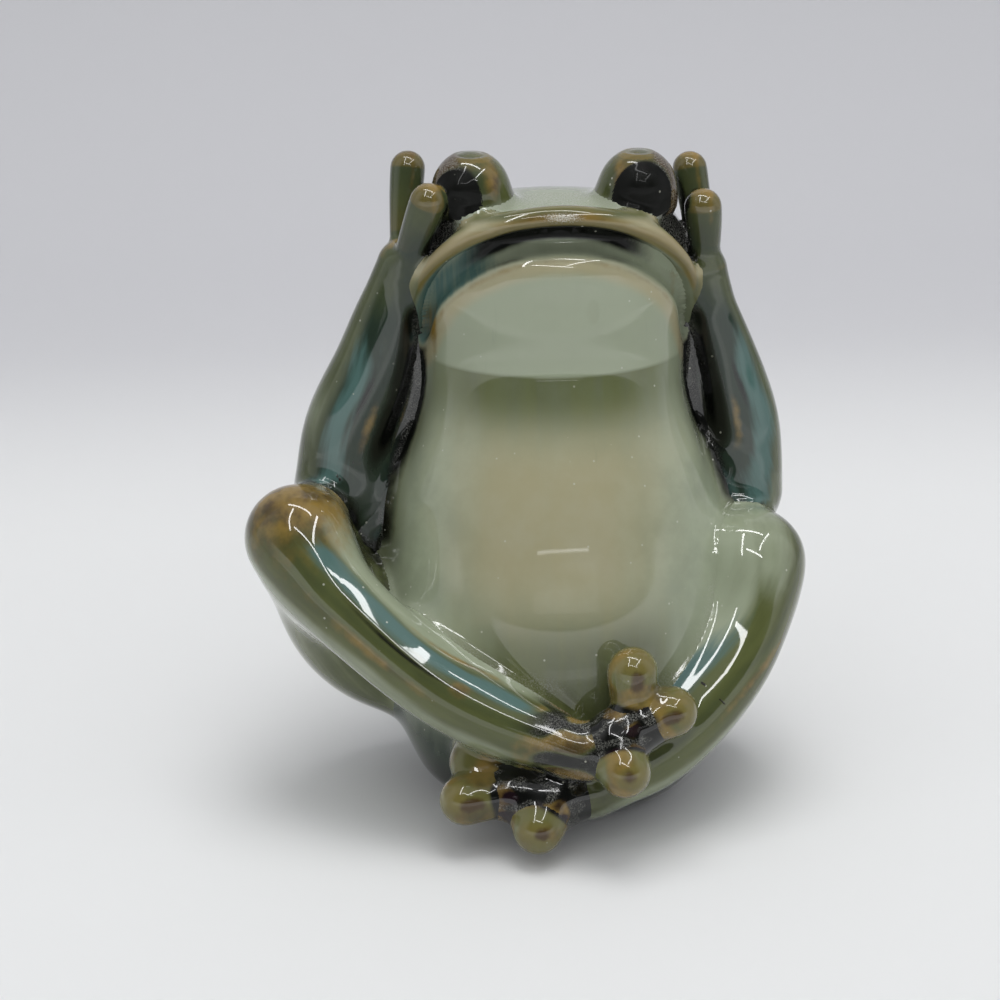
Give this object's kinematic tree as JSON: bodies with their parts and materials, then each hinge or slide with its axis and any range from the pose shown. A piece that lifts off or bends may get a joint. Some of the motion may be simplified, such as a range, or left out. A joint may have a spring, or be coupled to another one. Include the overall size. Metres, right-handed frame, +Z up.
{
  "type": "frog figurine",
  "caption": "Glazed ceramic frog figurine that sits leaning back with crossed legs and holds its hands up to its head.",
  "frame": {"origin": "middle of the flat ground base under the body", "axes": "+Z up, the frog looks along -Y, +X is the frog's own left"},
  "size_m": [0.0783, 0.0629, 0.0914],
  "materials": {
    "celadon_glaze": "glossy celadon glaze over a cream body",
    "olive_glaze": "glossy olive green glaze, pooled dark in hollows and amber where thin",
    "amber_glaze": "glossy thin amber glaze",
    "dark_glaze": "glossy pooled purple-black glaze"
  },
  "bodies": {
    "root": {"torso_shell": "celadon_glaze", "head_shell": "olive_glaze", "upper_lip": "amber_glaze", "left_eyelid": "olive_glaze", "right_eyelid": "olive_glaze", "left_eyeball": "dark_glaze", "right_eyeball": "dark_glaze", "left_upper_arm": "olive_glaze", "right_upper_arm": "olive_glaze", "left_forearm": "olive_glaze", "right_forearm": "olive_glaze", "left_front_finger": "olive_glaze", "left_rear_finger": "olive_glaze", "right_front_finger": "olive_glaze", "right_rear_finger": "olive_glaze", "left_thigh": "olive_glaze", "right_thigh": "olive_glaze", "left_shin": "olive_glaze", "right_shin": "olive_glaze", "left_foot": "dark_glaze", "right_foot": "dark_glaze", "left_outer_toe": "amber_glaze", "left_middle_toe": "amber_glaze", "left_inner_toe": "amber_glaze", "right_outer_toe": "amber_glaze", "right_middle_toe": "amber_glaze", "right_inner_toe": "amber_glaze"}
  },
  "joints": []
}
